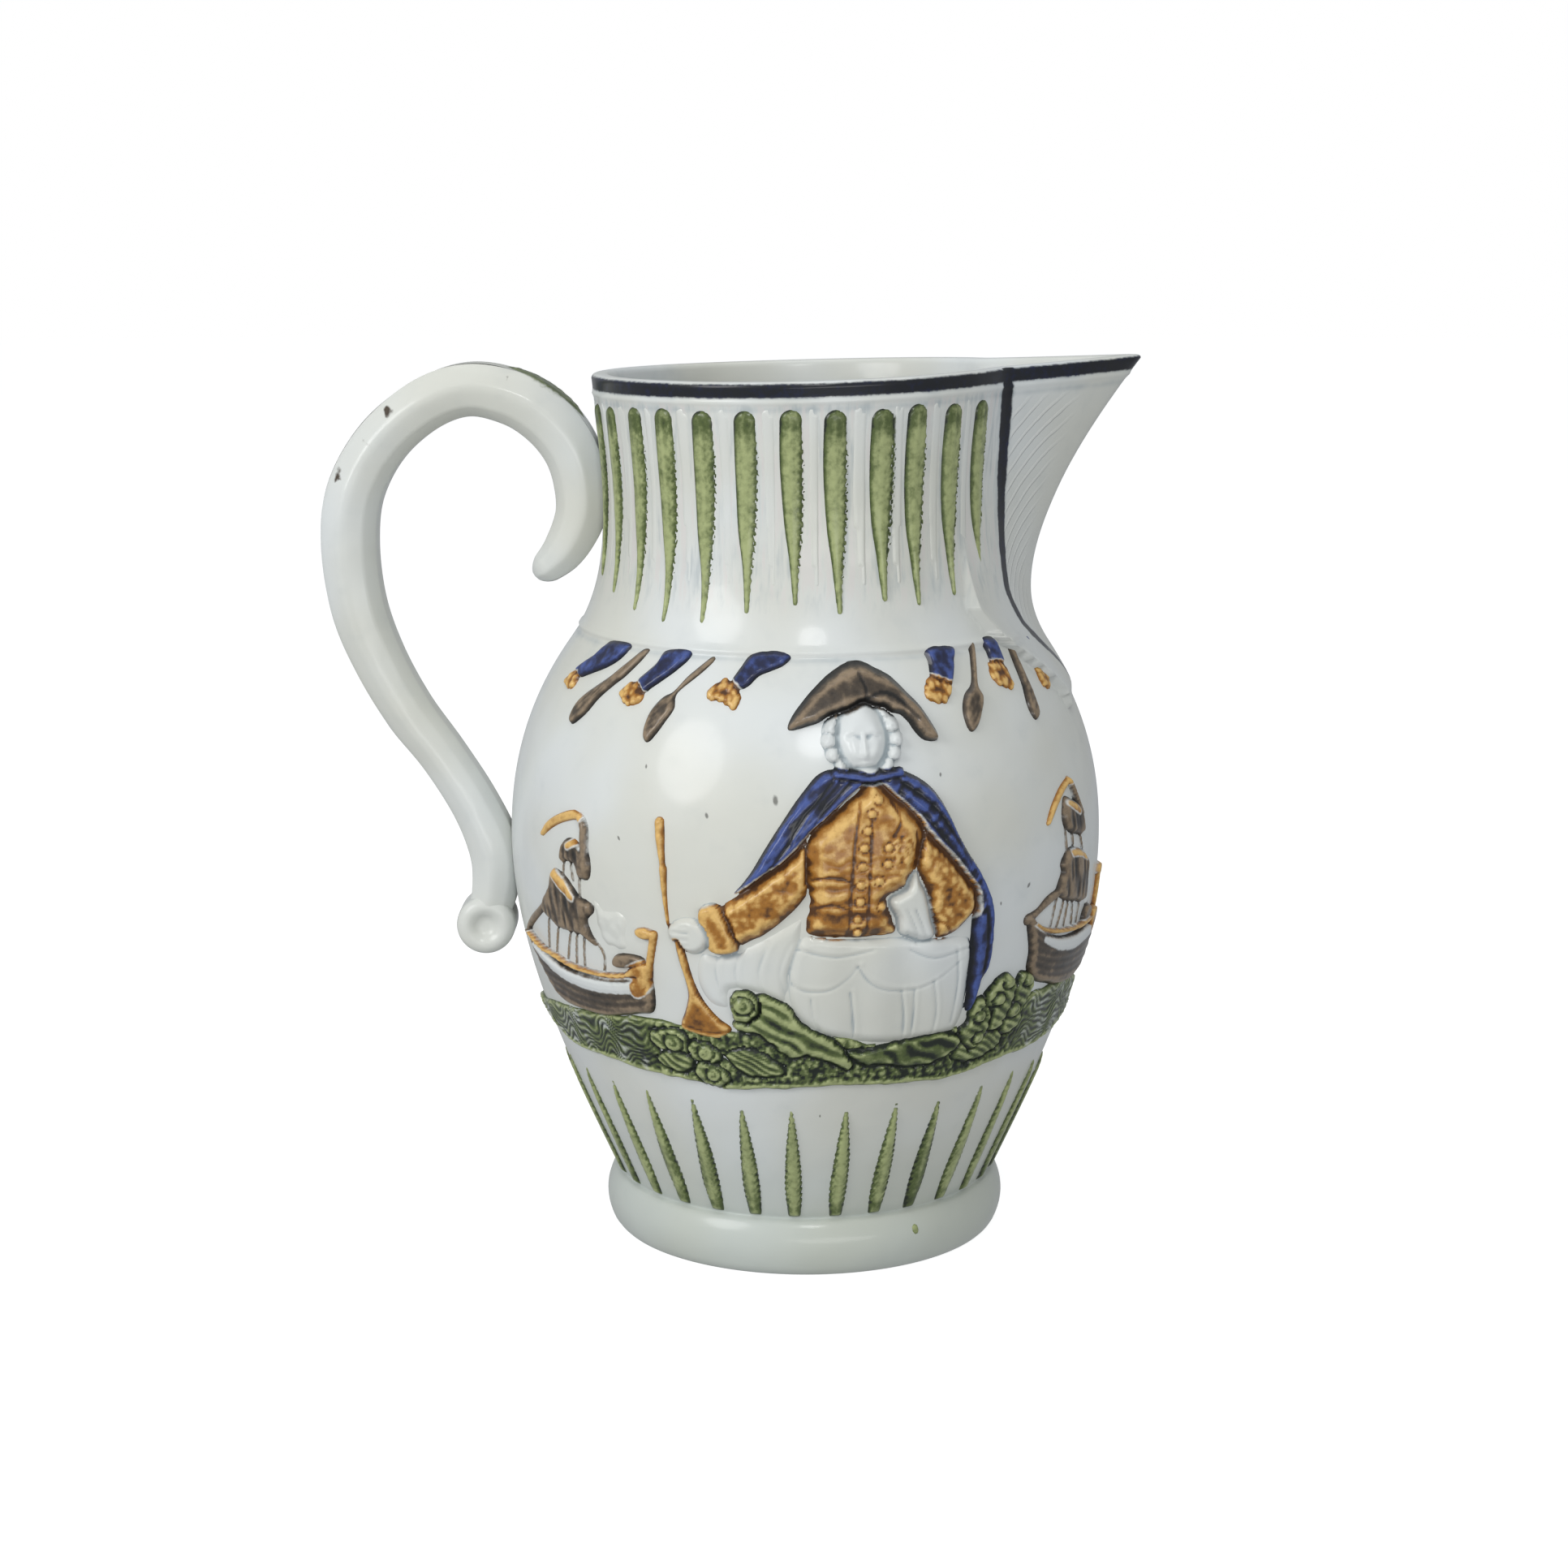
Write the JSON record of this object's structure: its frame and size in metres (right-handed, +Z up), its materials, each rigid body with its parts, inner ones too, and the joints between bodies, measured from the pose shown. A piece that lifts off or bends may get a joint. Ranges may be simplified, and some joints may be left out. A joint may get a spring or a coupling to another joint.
{
  "type": "commemorative jug",
  "caption": "Small relief-moulded glazed earthenware jug with a beak spout, a scroll handle and a painted naval frieze; holds and pours liquid.",
  "frame": {"origin": "centre of the flat underside, on the axis of the turned body", "axes": "+Z up along the axis of the body, +X towards the tip of the spout, the handle on -X, the front of the frieze faces -Y"},
  "size_m": [0.1436, 0.108, 0.1547],
  "materials": {
    "pearl_glaze": "Clear lead glaze with a faint blue-green tint over white earthenware, painted under the glaze in dark blue, ochre, brown and olive green"
  },
  "bodies": {
    "root": {"jug": "pearl_glaze"}
  },
  "joints": []
}
